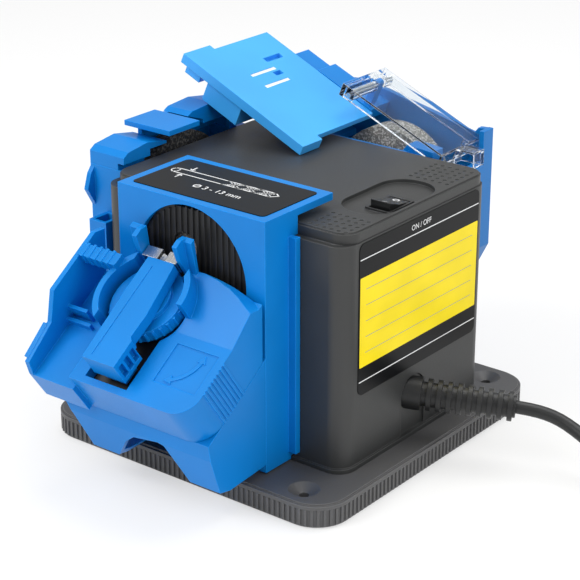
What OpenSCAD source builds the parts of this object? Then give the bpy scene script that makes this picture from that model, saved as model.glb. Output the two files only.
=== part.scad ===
// Drill bit, chisel and knife sharpener: one motor, three grinding stations.
// +X is the switch side, -Y the drill station, +Z up; origin at the middle of the base underside.

/* [Base] */
// width of the base plate along X
base_w = 200; // [180:1:240]
// depth of the base plate along Y
base_d = 205; // [185:1:240]
// height of the top face of the base plate
base_h = 14; // [10:1:20]
// corner radius of the base plate
base_r = 20; // [10:1:30]
// distance of each mounting hole from the side edges
hole_in = 24; // [14:1:30]
// distance of each mounting hole from the front and back edges
hole_in_y = 14.5; // [12:0.5:24]
// diameter of the mounting holes
hole_d = 5.5; // [4:0.5:7]

/* [Housing] */
// width of the housing along X
body_w = 167; // [150:1:180]
// depth of the housing along Y
body_d = 135; // [125:1:145]
// height of the shoulder where the lid starts
shoulder_z = 143; // [140:1:150]
// wall thickness of the housing
wall = 3; // [2:0.5:4]
// thickness of the lid above the shoulder
lid_h = 6.5; // [5:0.5:10]

/* [Drive] */
// height of the motor shaft
shaft_z = 117; // [112:1:118]
// diameter of the motor shaft
shaft_d = 8; // [6:1:10]
// diameter of the motor can
can_d = 50; // [44:1:52]
// diameter of the drill grinding wheel
front_wheel_d = 68; // [60:1:72]
// diameter of the chisel grinding wheel
rear_wheel_d = 72; // [60:1:74]
// diameter of the knife grinding wheel
side_wheel_d = 75; // [66:1:76]

/* [Drill station] */
// width of the drill attachment
panel_w = 101; // [96:1:106]
// distance of the attachment face in front of the housing
panel_out = 23; // [22:1:26]
// radius of the round opening
port_r = 38; // [34:1:40]
// slope of the drill table
table_tilt = 35; // [30:1:38]
// diameter of the clamping knob
knob_d = 45; // [38:1:46]
// how far each clamping jaw stands from the middle
jaw_gap = 3; // [2.5:0.25:4]

/* [Chisel station] */
// slope of the chisel table
sled_tilt = 24; // [18:1:28]
// width of the chisel table along Y
sled_w = 73; // [65:1:80]
// length of the chisel table down the slope
sled_l = 97; // [85:1:105]
// slope of the clear guard
guard_tilt = 23; // [18:1:28]
// length of the clear guard down the slope
guard_l = 77; // [70:1:80]
// width of the clear guard along Y
guard_w = 42; // [38:1:46]

/* [Power] */
// diameter of the power cord
cord_d = 7.5; // [6:0.5:9]
// mean radius of the coiled cord
coil_r = 42; // [36:1:48]

/* [Hidden] */
eps = 0.01;
hx = body_w / 2;
hy0 = -65;
hy1 = hy0 + body_d;
top_z = shoulder_z + lid_h;
px = panel_w / 2;
py = hy0 - panel_out;
cross_y = 6;
lip = 1.5;
gap = 0.3;
fit = 0.05;
// drill table frame
ty = py - 5.5;
tz = 111.4;
table_x0 = -31;
table_x1 = px;
kx = -10.6;
ky = -17;
pivot_s = -30;
cover_t = 27;
deck_z = 54.5;
// chisel table frame: lower front corner
sx = -12.9;
sy = 25.3;
sz = top_z + gap + 6 * cos(sled_tilt);
// guard frame: lower end hinge
gx = 46.6;
gy = hy1 + 4;
gz = 142.6;
pin_l = guard_l - 6;
pin_x = gx - pin_l * cos(guard_tilt) + 3 * sin(guard_tilt);
pin_z = gz + pin_l * sin(guard_tilt) + 3 * cos(guard_tilt);
// cord path
boot_a = [hx, 0.3, 39];
boot_yaw = 26.7;
boot_pitch = 3.3;
boot_l = 57;
cord_pts = [[133.5, 25.5, 35.75], [146, 31, 34.3], [157, 35, 31], [171, 35, 26], [186, 33, 19.5],
            [201, 29, 13], [216, 23, 8], [231, 16, 5], [246, 8, 3.75], [261, 1.5, 3.75], [276, -2.7, 3.75], [291, -4.4, 3.75]];
coil_c = [291, 45, 0];
tail_pts = [[291, 90.7, 10.2], [277, 91, 10.2], [263, 92.5, 10], [250, 96, 8.4], [238, 102, 6],
            [228, 110, 4.2], [220, 119, 3.75], [212, 129, 4.5], [203, 138, 6.5], [193, 145, 8]];
plug_at = [193, 145, 8];
plug_rot = 145;

module plan(w, d, r, h) {
  linear_extrude(h) {
    square([w - 2 * r, d], center = true);
    square([w, d - 2 * r], center = true);
    for (i = [-1, 1], j = [-1, 1])
      translate([i * (w / 2 - r), j * (d / 2 - r)])
        circle(r, $fn = 64);
  }
}
module box(x0, x1, y0, y1, z0, z1) {
  translate([x0, y0, z0])
    cube([x1 - x0, y1 - y0, z1 - z0]);
}
// side profile given in YZ, pushed along X
module side(x0, x1, pts) {
  translate([x0, 0, 0])
    rotate([90, 0, 90])
      linear_extrude(x1 - x0)
        polygon(pts);
}
// front profile given in XZ, pushed along Y
module front(y0, y1, pts) {
  translate([0, y1, 0])
    rotate([90, 0, 0])
      linear_extrude(y1 - y0)
        polygon(pts);
}
module along_y(x, y0, y1, z, r) {
  translate([x, y1, z])
    rotate([90, 0, 0])
      cylinder(h = y1 - y0, r = r, $fn = 96);
}
module along_x(x0, x1, y, z, r) {
  translate([x0, y, z])
    rotate([0, 90, 0])
      cylinder(h = x1 - x0, r = r, $fn = 96);
}
module on_table() {
  translate([0, ty, tz])
    rotate([table_tilt, 0, 0])
      children();
}
module on_sled() {
  translate([sx, sy, sz])
    rotate([0, sled_tilt, 0])
      mirror([1, 0, 0])
        children();
}
module on_guard() {
  translate([gx, gy, gz])
    rotate([0, guard_tilt, 0])
      mirror([1, 0, 0])
        children();
}
function sled_pt(a, c) = [sx - a * cos(sled_tilt) + c * sin(sled_tilt), sz + a * sin(sled_tilt) + c * cos(sled_tilt)];
module mount_spots() {
  for (i = [-1, 1], j = [-1, 1])
    translate([i * (base_w / 2 - hole_in), j * (base_d / 2 - hole_in_y), 0])
      children();
}

// ---- base ----
module base_plate() {
  color("#2f3133") difference() {
    union() {
      translate([0, 0, 0.6])
        plan(base_w - 1.6, base_d - 1.6, base_r - 0.8, base_h - 2.6);
      translate([0, 0, base_h - 3])
        plan(base_w, base_d, base_r, 2);
      translate([0, 0, base_h - 1.5])
        plan(base_w - 3, base_d - 3, base_r - 1.5, 1.5);
      mount_spots()
        cylinder(h = 3, d = 15, $fn = 48);
    }
    mount_spots() {
      translate([0, 0, -1])
        cylinder(h = base_h + 2, d = hole_d, $fn = 48);
      translate([0, 0, base_h - 3.5])
        cylinder(h = 4, d1 = hole_d, d2 = 19, $fn = 64);
    }
    for (i = [-1, 1], j = [-1, 1])
      translate([i * 84, j * 58, -1])
        cylinder(h = 4.6, d = 16.4, $fn = 48);
    for (i = [-1, 1], j = [-1, 1])
      translate([i * 60, j * 48, -1]) {
        cylinder(h = base_h + 2, d = 4.4, $fn = 48);
        cylinder(h = 4.6, d = 9, $fn = 48);
      }
  }
}
module rubber_feet() {
  color("#1a1a1a") for (i = [-1, 1], j = [-1, 1])
    translate([i * 84, j * 58, 0])
      cylinder(h = 3.6, d = 16, $fn = 48);
}
module base_screws() {
  color("#9a9da0") for (i = [-1, 1], j = [-1, 1])
    translate([i * 60, j * 48, 0]) {
      translate([0, 0, 1.2])
        cylinder(h = 2.2, d = 8, $fn = 48);
      translate([0, 0, 3])
        cylinder(h = 17, d = 4, $fn = 32);
    }
}

// ---- housing ----
module housing_body() {
  color("#3a3c3f") difference() {
    union() {
      translate([0, (hy0 + hy1) / 2, base_h])
        plan(body_w + 2 * lip, body_d + 2 * lip, 11, 2.5);
      translate([0, (hy0 + hy1) / 2, base_h])
        plan(body_w, body_d, 10, shoulder_z - base_h);
      for (i = [-1, 1])
        box(i * 44.5 - 2.2, i * 44.5 + 2.2, hy0 - 6, hy0 + 1, 22, 138);
      along_y(0, hy0 - 2, hy0 + 1, shaft_z, 16);
    }
    translate([0, (hy0 + hy1) / 2, base_h + 3])
      plan(body_w - 2 * wall, body_d - 2 * wall, 7, shoulder_z);
    // shaft passages
    along_y(0, hy0 - 5, hy0 + 6, shaft_z, 7);
    along_y(0, hy1 - 5, hy1 + 6, shaft_z, 7);
    along_x(-hx - 5, -hx + 6, cross_y, shaft_z, 6);
    // cord hole and the notch below it
    on_boot()
      translate([0, 0, -20])
        cylinder(h = 30, r = 6.45, $fn = 48);
    box(hx - 1.2, hx + 3, -10.9, 11.5, base_h + 2.6, 39);
    along_x(hx - 1.2, hx + 3, 0.3, 39, 11.2);
    // screw holes for the base
    for (i = [-1, 1], j = [-1, 1])
      translate([i * 60, j * 48, 0])
        cylinder(h = 30, d = 4.1, $fn = 32);
  }
  // bearing bosses inside the end walls
  color("#3a3c3f") for (y = [hy0 + wall - 0.5, hy1 - wall - 8])
    difference() {
      along_y(0, y, y + 8.5, shaft_z, 14);
      along_y(0, y - 1, y + 10, shaft_z, 11);
    }
}
module housing_lid() {
  color("#3a3c3f") difference() {
    union() {
      translate([1.5, (hy0 + hy1) / 2 + 1.5, shoulder_z])
        plan(body_w - 4, body_d - 5, 10, lid_h - 1);
      translate([1.5, (hy0 + hy1) / 2 + 1.5, top_z - 1 - eps])
        plan(body_w - 6, body_d - 7, 9, 1 + eps);
      translate([0, (hy0 + hy1) / 2, shoulder_z - 4])
        plan(body_w - 2 * wall - 2 * gap, body_d - 2 * wall - 2 * gap, 6.7, 4 + eps);
    }
    difference() {
      translate([0, (hy0 + hy1) / 2, shoulder_z - 10])
        plan(body_w - 4 * wall, body_d - 4 * wall, 5, 10 + lid_h - 3);
      translate([62.5, 0.8, shoulder_z - 4])
        plan(36, 66, 16, 10);
    }
    // long channel behind the drill station
    translate([-4, -22, top_z - 1.2])
      plan(64, 18, 5, 3);
    // dished finger recess round the switch
    translate([64, 0.8, top_z - 2.2])
      plan(33, 62, 16, 3);
    // switch opening
    box(61.45, 78.55, -18.45, 5.25, shoulder_z - 20, top_z + 1);
    // dimples
    for (i = [0:5], j = [0:5])
      translate([56 + i * 4.6, -62.5 + j * 4.9, top_z - 0.6])
        cylinder(h = 2, d = 2.4, $fn = 16);
    for (i = [0:5], j = [0:5])
      translate([54 + i * 4.8, 36 + j * 4.9, top_z - 0.6])
        cylinder(h = 2, d = 2.4, $fn = 16);
    for (p = [[-50, 61], [30, -50]])
      translate([p[0], p[1], shoulder_z - 1])
        cylinder(h = 20, d = 3.3, $fn = 24);
  }
}
module lid_screws() {
  color("#6f7275") for (p = [[-50, 61], [30, -50]])
    translate([p[0], p[1], 0]) {
      translate([0, 0, top_z])
        cylinder(h = 2, d = 6.4, $fn = 32);
      translate([0, 0, shoulder_z - 8])
        cylinder(h = lid_h + 9, d = 3, $fn = 24);
    }
}
module side_label() {
  color("#161718") translate([hx, 0, 0])
    rotate([90, 0, 90])
      linear_extrude(0.35) {
        translate([-52, 60])
          square([112, 78]);
        translate([-48, 56])
          square([104, 86]);
        for (p = [[-48, 60], [56, 60], [-48, 138], [56, 138]])
          translate(p)
            circle(4, $fn = 32);
      }
}
module switch_frame() {
  color("#1a1b1c") difference() {
    union() {
      box(61.5, 78.5, -18.4, 5.2, shoulder_z - 12, top_z - 2.2);
      box(62, 78, -18, 4.8, top_z - 2.3, top_z - 0.8);
    }
    box(63.6, 76.6, -17.2, 3.4, shoulder_z - 9, top_z + 1);
    along_x(61, 80, -6.6, top_z - 5, 1.25);
  }
}
module rocker_switch() {
  color("#232425")
    side(63.9, 76.3, [[-15.2, top_z - 5], [1.6, top_z - 5], [2.6, top_z - 1], [-6.6, top_z + 0.2], [-15.4, top_z + 3.2]]);
  color("#232425") along_x(62.7, 77.5, -6.6, top_z - 5, 1.2);
}

// ---- drive ----
module motor_cradle() {
  color("#8b8e91") difference() {
    union() {
      box(-30, 30, 26, 32, base_h + 3, shaft_z);
      box(-30, 30, 50, 56, base_h + 3, shaft_z);
      box(-30, 30, 31, 51, base_h + 3, base_h + 7);
    }
    along_y(0, 20, 70, shaft_z, can_d / 2);
  }
}
module motor_can() {
  color("#a9adb0") difference() {
    along_y(0, 20.5, 58, shaft_z, can_d / 2);
    along_y(0, 23, 55.6, shaft_z, can_d / 2 - 6);
    along_y(0, 10, 70, shaft_z, shaft_d / 2 + 1.5);
  }
}
module rotor_core() {
  color("#7d7f82") difference() {
    along_y(0, 28, 52, shaft_z, can_d / 2 - 8);
    along_y(0, 20, 60, shaft_z, shaft_d / 2);
    for (a = [0:30:330])
      translate([0, 0, shaft_z])
        rotate([0, a, 0])
          translate([can_d / 2 - 8, 53, 0])
            rotate([90, 0, 0])
              cylinder(h = 26, r = 1.6, $fn = 24);
  }
}
module commutator() {
  color("#b87333") difference() {
    along_y(0, 52.6, 55.2, shaft_z, 9);
    along_y(0, 50, 60, shaft_z, shaft_d / 2);
  }
}
module motor_shaft() {
  color("#c4c7ca") along_y(0, hy0 - 16.5, hy1 + 40, shaft_z, shaft_d / 2);
}
module cooling_fan() {
  color("#2a2b2d") difference() {
    union() {
      along_y(0, -38, -32, shaft_z, 7);
      along_y(0, -33.5, -32, shaft_z, 20);
      for (a = [0:45:315])
        translate([0, 0, shaft_z])
          rotate([0, a, 0])
            box(6, 20, -37.5, -33, -0.8, 0.8);
    }
    along_y(0, -45, -20, shaft_z, shaft_d / 2);
  }
}
module ring_bearing(y) {
  color("#b9bcbf") difference() {
    along_y(0, y, y + 7, shaft_z, 11);
    along_y(0, y - 1, y + 8, shaft_z, shaft_d / 2 + fit);
  }
}
module front_bearing() {
  ring_bearing(hy0 + wall + 0.5);
}
module rear_bearing() {
  ring_bearing(hy1 - wall - 7.5);
}
module drive_cone() {
  color("#8a5a2b") difference() {
    union() {
      translate([0, cross_y - 6, shaft_z])
        rotate([90, 0, 0])
          cylinder(h = 8, r1 = 5.7, r2 = 13.7, $fn = 96);
      along_y(0, cross_y - 20, cross_y - 13.5, shaft_z, 8);
    }
    along_y(0, cross_y - 30, cross_y, shaft_z, shaft_d / 2);
  }
}
module driven_cone() {
  color("#8a5a2b") difference() {
    union() {
      translate([-6.3, cross_y, shaft_z])
        rotate([0, -90, 0])
          cylinder(h = 8, r1 = 5.7, r2 = 13.7, $fn = 96);
      along_x(-20, -14, cross_y, shaft_z, 8);
    }
    along_x(-30, -5, cross_y, shaft_z, 3);
  }
}
module cross_shaft() {
  color("#c4c7ca") along_x(-hx - 18.5, -7, cross_y, shaft_z, 3);
}
module cross_bearings() {
  color("#b9bcbf") for (x = [-34, -hx + wall + 0.5])
    difference() {
      along_x(x, x + 6, cross_y, shaft_z, 8);
      along_x(x - 1, x + 7, cross_y, shaft_z, 3 + fit);
    }
}
module cross_bracket() {
  color("#8b8e91") for (x = [-34, -hx + wall + 0.5])
    difference() {
      box(x, x + 6, cross_y - 12, cross_y + 12, base_h + 3, shaft_z + 11);
      along_x(x - 1, x + 7, cross_y, shaft_z, 8);
    }
}
module drill_wheel() {
  color("#8e8b86") difference() {
    along_y(0, hy0 - 14, hy0 - 5, shaft_z, front_wheel_d / 2);
    along_y(0, hy0 - 20, hy0, shaft_z, shaft_d / 2);
  }
}
module drill_wheel_nut() {
  color("#9a9da0") difference() {
    union() {
      translate([0, hy0 - 14, shaft_z])
        rotate([90, 0, 0])
          cylinder(h = 2.3, r = 7.5, $fn = 6);
      along_y(0, hy0 - 5, hy0 - 3.2, shaft_z, 10);
    }
    along_y(0, hy0 - 20, hy0, shaft_z, shaft_d / 2);
  }
}
module chisel_wheel() {
  color("#9c9a95") difference() {
    along_y(0, hy1 + 20, hy1 + 35, shaft_z, rear_wheel_d / 2);
    along_y(0, hy1, hy1 + 50, shaft_z, shaft_d / 2);
  }
}
module chisel_wheel_nut() {
  color("#9a9da0") difference() {
    union() {
      translate([0, hy1 + 39, shaft_z])
        rotate([90, 0, 0])
          cylinder(h = 4, r = 7.5, $fn = 6);
      along_y(0, hy1 + 16, hy1 + 20, shaft_z, 13);
    }
    along_y(0, hy1, hy1 + 50, shaft_z, shaft_d / 2);
  }
}
module knife_wheel() {
  color("#2b2b2c") difference() {
    along_x(-hx - 13.5, -hx - 4.5, cross_y, shaft_z, side_wheel_d / 2);
    along_x(-hx - 20, -hx, cross_y, shaft_z, 3);
  }
}
module knife_wheel_nut() {
  color("#9a9da0") difference() {
    union() {
      translate([-hx - 17.5, cross_y, shaft_z])
        rotate([0, 90, 0])
          cylinder(h = 4, r = 6, $fn = 6);
      along_x(-hx - 4.5, -hx - 2.6, cross_y, shaft_z, 9);
    }
    along_x(-hx - 25, -hx, cross_y, shaft_z, 3);
  }
}

// ---- drill station ----
module drill_housing() {
  color("#1f7fd6") difference() {
    union() {
      box(-px, px, py, hy0 - gap, 15, 157.5);
      box(-px, px, hy0 - 2, -61, shoulder_z + gap, 157.5);
      box(-px, px, -62, -31, 153.5, 157.5);
      for (i = [-1, 1])
        box(i * (px + 2) - 3, i * (px + 2) + 3, hy0 - 4, hy0 - gap, 20, 144);
    }
    // hollow for the wheel
    box(-px + 3.4, px - 3.4, py + 3, hy0 + 1, 10, 153.5);
    box(-px + 3.4, px - 3.4, py + 10, -50, shoulder_z - 1, 153.5);
    box(-px - 1, px + 1, hy0 - 1.8, hy0 + 1, 10, 17);
    along_y(0, py - 1, py + 4, shaft_z, port_r);
    translate([0, -59.5, 157.2])
      plan(91, 47, 3, 1);
  }
}
module size_label() {
  color("#161718") translate([0, -59.5, 157.2])
    plan(90.4, 46.4, 2.8, 0.6);
}
module wheel_screen() {
  color("#141516") difference() {
    union() {
      box(-46.5, 46.5, py + 3, py + 4.6, 74, 152);
      for (i = [-9:9])
        box(i * 4 - 0.5, i * 4 + 0.5, py + 2, py + 3.1,
            shaft_z - sqrt(pow(port_r - 1.5, 2) - pow(i * 4, 2)), shaft_z + sqrt(pow(port_r - 1.5, 2) - pow(i * 4, 2)));
    }
    along_y(-6, py - 1, py + 6, shaft_z + 13, 8);
  }
}
module drill_base() {
  color("#1f7fd6") difference() {
    side(-58, px, [[py, 20], [-118, 17.5], [-126, 19], [-133, 40], [-134.6, cover_z(-134.6)], [py, cover_z(py)]]);
    // hollow inside
    side(-55, px - 3, [[py + 1, 23], [-117, 20.5], [-124, 22], [-130, 40], [-130, cover_z(-130) - 4.5],
                       [py + 1, cover_z(py + 1) - 4.5]]);
    // arch between the legs
    front(-160, py - 3, [[-22, 10], [-22, 17], [-12, 31], [-4, 37], [14, 40], [18, 39], [24, 29], [31, 17], [35, 10]]);
    // slanted outer corner of the left leg
    front(-160, py + 1, [[-60, 10], [-60, 52], [-54, 50], [-47, 36.6], [-38, 16], [-36, 10]]);
    // pivot hole
    on_table() translate([0, pivot_s, -45])
      cylinder(h = 40, d = 8, $fn = 48);
  }
  color("#1f7fd6") difference() {
    on_table() translate([0, pivot_s, -38])
      cylinder(h = 38 - cover_t - gap - 0.2, d = 16, $fn = 48);
    on_table() translate([0, pivot_s, -45])
      cylinder(h = 40, d = 8, $fn = 48);
  }
}
module table_pivot() {
  color("#9a9da0") on_table() translate([0, pivot_s, -38])
    cylinder(h = 23.5, d = 8, $fn = 48);
}
function slope(y) = tz + (y - ty) * tan(table_tilt);
function cover_z(y) = slope(y) - (cover_t + gap) / cos(table_tilt);
module keyhole(d, h0) {
  on_table() translate([0, 0, h0]) {
    translate([kx, ky, 0])
      cylinder(h = 19.3, r = knob_d / 2 + 2 - d, $fn = 96);
    translate([-22 + d, -66 + d, 0])
      cube([29 - 2 * d, 48, 19.3]);
  }
}
module cover(x0, x1, y0, y1, z0, z1) {
  on_table() box(x0, x1, y0, y1, z0, z1);
}
module drill_table() {
  color("#1f7fd6") difference() {
    union() {
      // deck with its rounded front corner
      cover(table_x0, table_x1 - 14, -70, 20, -cover_t, 0);
      cover(table_x1 - 15, table_x1, -56, 20, -cover_t, 0);
      on_table() translate([table_x1 - 14, -56, -cover_t])
        cylinder(h = cover_t, r = 14, $fn = 64);
      // lower tray on the left
      cover(-60, table_x0 + 1, -73, 20, -cover_t, -7);
      // crest behind the knob, rounded off at the right
      intersection() {
        side(-36, table_x1, [[-115.5, 95.8], [ty + 4, 122.4], [ty + 4, 100], [-108, 88]]);
        front(-130, -80, [[-36, 60], [-36, 121], [13, 121], [22, 120], [32, 118.1], [40, 115.5], [45, 113.5],
                          [table_x1, 111.5], [table_x1, 60]]);
      }
      // outer wall of the tray
      side(-62, -59, [[-88, 82.4], [-137.8, 47.4], [-149.3, 63.8], [-152, 72], [-134, 89], [-131, 106.5], [-98, 129.6], [-88, 129.6]]);
      // curved walls round the knob
      on_table() intersection() {
        translate([kx, ky, -8])
          cylinder(h = 22, r = knob_d / 2 + 5.5, $fn = 96);
        union() {
          box(-50, -28, -40, 20, -8, 14);
          box(8, 50, -17.5, 20, -8, 14);
        }
      }
      // grip block across the tray
      cover(-60, -33, -9, -1.5, 11, 18);
      for (i = [0:4])
        cover(-57.5 + i * 4.6, -55.9 + i * 4.6, -9.6, -0.9, 11.6, 18.6);
      // inner ribs of the tray
      cover(-59.5, -45, -33, -31, -8, 2);
      cover(-59.5, -42, -38, -36, -8, -3);
      // grip ribs on the right side and on the tray wall
      for (i = [0:7])
        cover(table_x1 - 0.4, table_x1 + 0.8, -36 - i * 2.6, -34.7 - i * 2.6, -cover_t, 0);
      for (i = [0:8])
        translate([-62.4, -135.5 - i * 1.7, 87 - i * 1.6])
          rotate([45, 0, 0])
            cube([3, 2.4, 1.5], center = true);
    }
    // hollow underside
    difference() {
      cover(table_x0 + 3, table_x1 - 3, -67, 30, -cover_t - 1, -12);
      on_table() translate([0, pivot_s, -40])
        cylinder(h = 50, r = 9, $fn = 48);
      cover(table_x1 - 17, table_x1, -75, -53, -40, 10);
      box(-80, 80, -94.5, -60, 40, 160);
    }
    difference() {
      cover(-57, table_x0 - 2, -70, 30, -cover_t - 1, -10);
      box(-80, 80, -94.5, -60, 40, 160);
    }
    keyhole(0, -9);
    // round passage inside the curved walls
    on_table() intersection() {
      translate([kx, ky, -7])
        cylinder(h = 30, r = knob_d / 2 + 2, $fn = 96);
      box(-60, 60, -60, 3, -9, 30);
    }
    // drill passage between the ears
    cover(-22, 0, 2, 12, -1, 10.3);
    // picture panel with the swing arrow
    cover(18, 46, -56, -32, -0.8, 2.2);
    on_table() translate([0, pivot_s, -cover_t - 2])
      cylinder(h = 15, r = 4 + fit, $fn = 48);
    // flat rear face
    box(-80, 80, ty + 3, -60, 40, 160);
  }
  // ears beside the drill entry
  color("#1f7fd6") difference() {
    on_table() for (e = [[-27.7, -24.7, -34.5, -26.5], [0.3, 3.3, 2.3, 8.3]]) {
      translate([e[0], 0, 0])
        rotate([90, 0, 90])
          linear_extrude(e[1] - e[0])
            polygon([[4.5, 3], [6, 3], [16, 24], [12, 26], [7, 26], [4.5, 17]]);
      translate([e[2], 0, 0])
        rotate([90, 0, 90])
          linear_extrude(e[3] - e[2])
            polygon([[4.5, 3], [6, 3], [16, 24], [13, 24]]);
    }
    box(-80, 80, ty + 3, -60, 40, 160);
  }
  // raised swing arrow
  color("#1f7fd6") on_table() translate([20.4, -35.8, -1]) {
    rotate([0, 0, 292])
      rotate_extrude(angle = 62, $fn = 96)
        translate([17, 0])
          square([1.8, 0.9]);
    for (a = [290, 356])
      rotate([0, 0, a])
        translate([17.9, a == 290 ? 1.2 : -1.2, 0])
          linear_extrude(0.9)
            polygon(a == 290 ? [[-2.6, 0], [2.6, 0], [0, -4.4]] : [[-2.6, 0], [0, 4.4], [2.6, 0]]);
  }
}
module knob_well() {
  color("#141516") difference() {
    intersection() {
      keyhole(gap, -9);
      cover(-60, 60, -90, 20, -9, -6.5);
      box(-80, 80, -170, ty + 2.5, 0, 200);
    }
    on_table() translate([kx, ky, -12])
      cylinder(h = 10, r = 5, $fn = 48);
  }
}
module clamp_knob() {
  color("#2a8ae0") on_table() translate([kx, ky, 0]) {
    translate([0, 0, -1])
      cylinder(h = 7.5, r = knob_d / 2 - 1, $fn = 96);
    translate([0, 0, -6])
      cylinder(h = 5, r1 = knob_d / 2 - 4.5, r2 = knob_d / 2 - 1, $fn = 96);
    for (a = [0:12:348])
      rotate([0, 0, a])
        translate([knob_d / 2 - 1, 0, -0.5])
          cylinder(h = 6, r = 1, $fn = 16);
    translate([0, 0, 6])
      cylinder(h = 3, r = 14.9, $fn = 96);
    translate([0, 0, -8.7])
      cylinder(h = 4, r = 5 - fit, $fn = 48);
  }
}
module clamp_bar() {
  color("#2a8ae0") on_table() difference() {
    union() {
      translate([0, 0, 9.6])
        linear_extrude(6.4)
          polygon([[-17, -63], [5, -63], [5, -46], [3, -44], [3.5, -30], [2, -16], [0, 2], [-1, 3], [-18.5, 3], [-18.5, -16]]);
      box(-17, 5, -63, -47, 1, 10);
      box(-13, 1, -61, -51, -5, 2);
    }
    // windows on the long side
    for (i = [0:2])
      translate([1.5, -61.2 + i * 5, 3.6])
        cube([8, 3.6, 8.8]);
    // rib line on the top face
    translate([-12.5, -60, 15.6])
      cube([0.8, 58, 2]);
  }
}
module jaw(x0, x1, edge) {
  color("#b9bcbf") on_table() difference() {
    box(x0, x1, 3.6, 10, 7, 15);
    translate([edge, 6, 11])
      rotate([0, 45, 0])
        cube([2.4, 24, 2.4], center = true);
  }
}
module left_jaw() {
  jaw(-23.9, kx - jaw_gap, kx - jaw_gap);
}
module right_jaw() {
  jaw(kx + jaw_gap - 0.8, -0.5, kx + jaw_gap - 0.8);
}

// ---- knife station on the left ----
module knife_station() {
  color("#1f7fd6") difference() {
    union() {
      box(-hx - 24, -hx - gap, -50, 62, 62, 146);
      box(-hx - 13, -hx - gap, hy0 + 1, -49, 98, 119);
      side(-hx - 24, -hx - 21, [[-49, 120], [-56, 132], [-53, 141], [-49, 146]]);
    }
    // wheel well
    box(-hx - 21, -hx - 2.4, -37, 50, 70, 150);
    box(-hx - 10.5, -hx - 2.5, hy0 + 3, -51, 100.5, 125);
    along_x(-hx - 10, -hx + 5, cross_y, shaft_z, 12);
  }
}
module knife_hood() {
  color("#1f7fd6") difference() {
    union() {
      side(-hx - 24, -hx + 2, [[-50, top_z + 0.5], [-50, 154], [-46, 156.5], [-30, 158.5], [-14, 155.5], [-14, 154], [-28, 154], [-28, top_z + 0.5]]);
      box(-hx - 24, -hx - 2.7, -50, -28, 146, top_z + 1);
    }
    side(-hx - 21, -hx - 4, [[-47, 145], [-47, 152], [-33, 154], [-31, 145]]);
  }
}
module knife_guide() {
  color("#1f7fd6") difference() {
    union() {
      box(-105, -70.5, -23.5, 2.5, 162.5, 165.5);
      box(-104, -101, -13.5, 30, 146, 163);
      side(-105, -hx - 2.7, [[24, 146], [24, 158], [10, 163], [14, 165], [32, 166.3], [46, 164], [54, 156], [54, 146]]);
    }
    side(-101, -hx - 5.5, [[27, 145], [27, 159], [20, 161.5], [32, 163.3], [44, 161], [51, 155], [51, 145]]);
    box(-101, -80, 0, 48, 140, 155.5);
  }
}

// ---- chisel station at the rear ----
module chisel_station() {
  color("#1c6fc0") difference() {
    union() {
      front(hy1 + gap, hy1 + 50, [[-72, 84], [-52, 64], [44, 64], [54, 84], [54, 150], [28, 150], [26, 148], [-60, 148], [-72, 140]]);
      // high rear wall
      front(hy1 + 46.5, hy1 + 50, [[-52, 140], [-52, 168], [-44, 169], [-20, 165.5], [-7.6, 162.7], [17.9, 157.4],
                                   [32.2, 154], [42.8, 151.5], [46, 155.5], [54, 156], [54, 140]]);
      box(51, 54, hy1 + 40, hy1 + 50, 140, 156);
      // arm that carries the chisel rail
      front(hy1 + 30, hy1 + 50, [[-92, 150], [-66, 120], [-50, 145], [-50, 148], sled_pt(52, -16.55), sled_pt(72, -16.55)]);
    }
    // wheel hollow
    front(hy1 + 3.3, hy1 + 46.5, [[-69, 85], [-51, 67], [42.5, 67], [51, 85], [51, 157], [43, 160], [-50, 160], [-58, 150], [-69, 138]]);
    along_y(0, hy1 - 2, hy1 + 5, shaft_z, 15);
    // low side where the guard comes down
    box(43, 60, hy1 - 1, hy1 + 40, 138, 170);
    box(27, 43.5, hy1 - 1, hy1 + 40, 147, 170);
  }
  // partition that carries the tool rest
  color("#1c6fc0") difference() {
    front(hy1 + 3, hy1 + 48, [[-60, 74], [-57, 72], [-57, 140], [-60, 140]]);
    box(-59, -58, hy1 + 20, hy1 + 30, 60, 64);
  }
  // wedge beside the stone
  color("#1c6fc0") union() {
    front(hy1 + 9, hy1 + 18, [[12, 138], [22, 150], [40, 148.5], [40, 138]]);
    front(hy1 + 3, hy1 + 9.5, [[14, 138], [14, 142], [16, 145], [32, 145], [32, 138]]);
  }
}
module chisel_rest() {
  color("#1c6fc0") difference() {
    front(hy1 + 4, hy1 + 46, [[-57, 140], [-42, 134.5], [-42, 137.5], [-57, 143.5]]);
    for (y = [hy1 + 10, hy1 + 36])
      box(-55, -51, y, y + 4, 130, 150);
  }
}
module chisel_rail() {
  color("#1f7fd6") on_sled() box(52, 72, 18.5, 92, -16.5, -3.8);
}
module chisel_sled() {
  color("#2f8fe6") on_sled() difference() {
    union() {
      box(0, sled_l, 0, 18, -6, 0);
      box(4, sled_l - 4, 0, sled_w, -3.5, 0);
      box(sled_l - 14, sled_l, 0, 23.5, -6, 0);
      box(sled_l - 14.5, sled_l - 3, 3, 11, -12, -5);
      // hooks round the rail
      for (x = [48.2, 72.3])
        box(x, x + 3.5, 2, 60, -18, -3);
      for (x = [48.2, 70.3])
        box(x, x + 5.5, 2, 60, -19, -16.8);
      box(48.2, 75.8, 2, 5, -19, -3.5);
    }
    for (x = [50.5, 62.2])
      translate([x, 25, -8])
        cube([2.4, 22.4, 12]);
    translate([69.5, 47, -3.2])
      cube([4, 15.5, 4]);
    translate([57, 41.5, -3.2])
      cube([3.6, 7, 4]);
  }
}
module sled_strips() {
  color("#d8dadc") on_sled() for (x = [50.5, 62.2])
    translate([x + 0.05, 25.05, -3.4])
      cube([2.3, 22.3, 3.2]);
}
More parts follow.
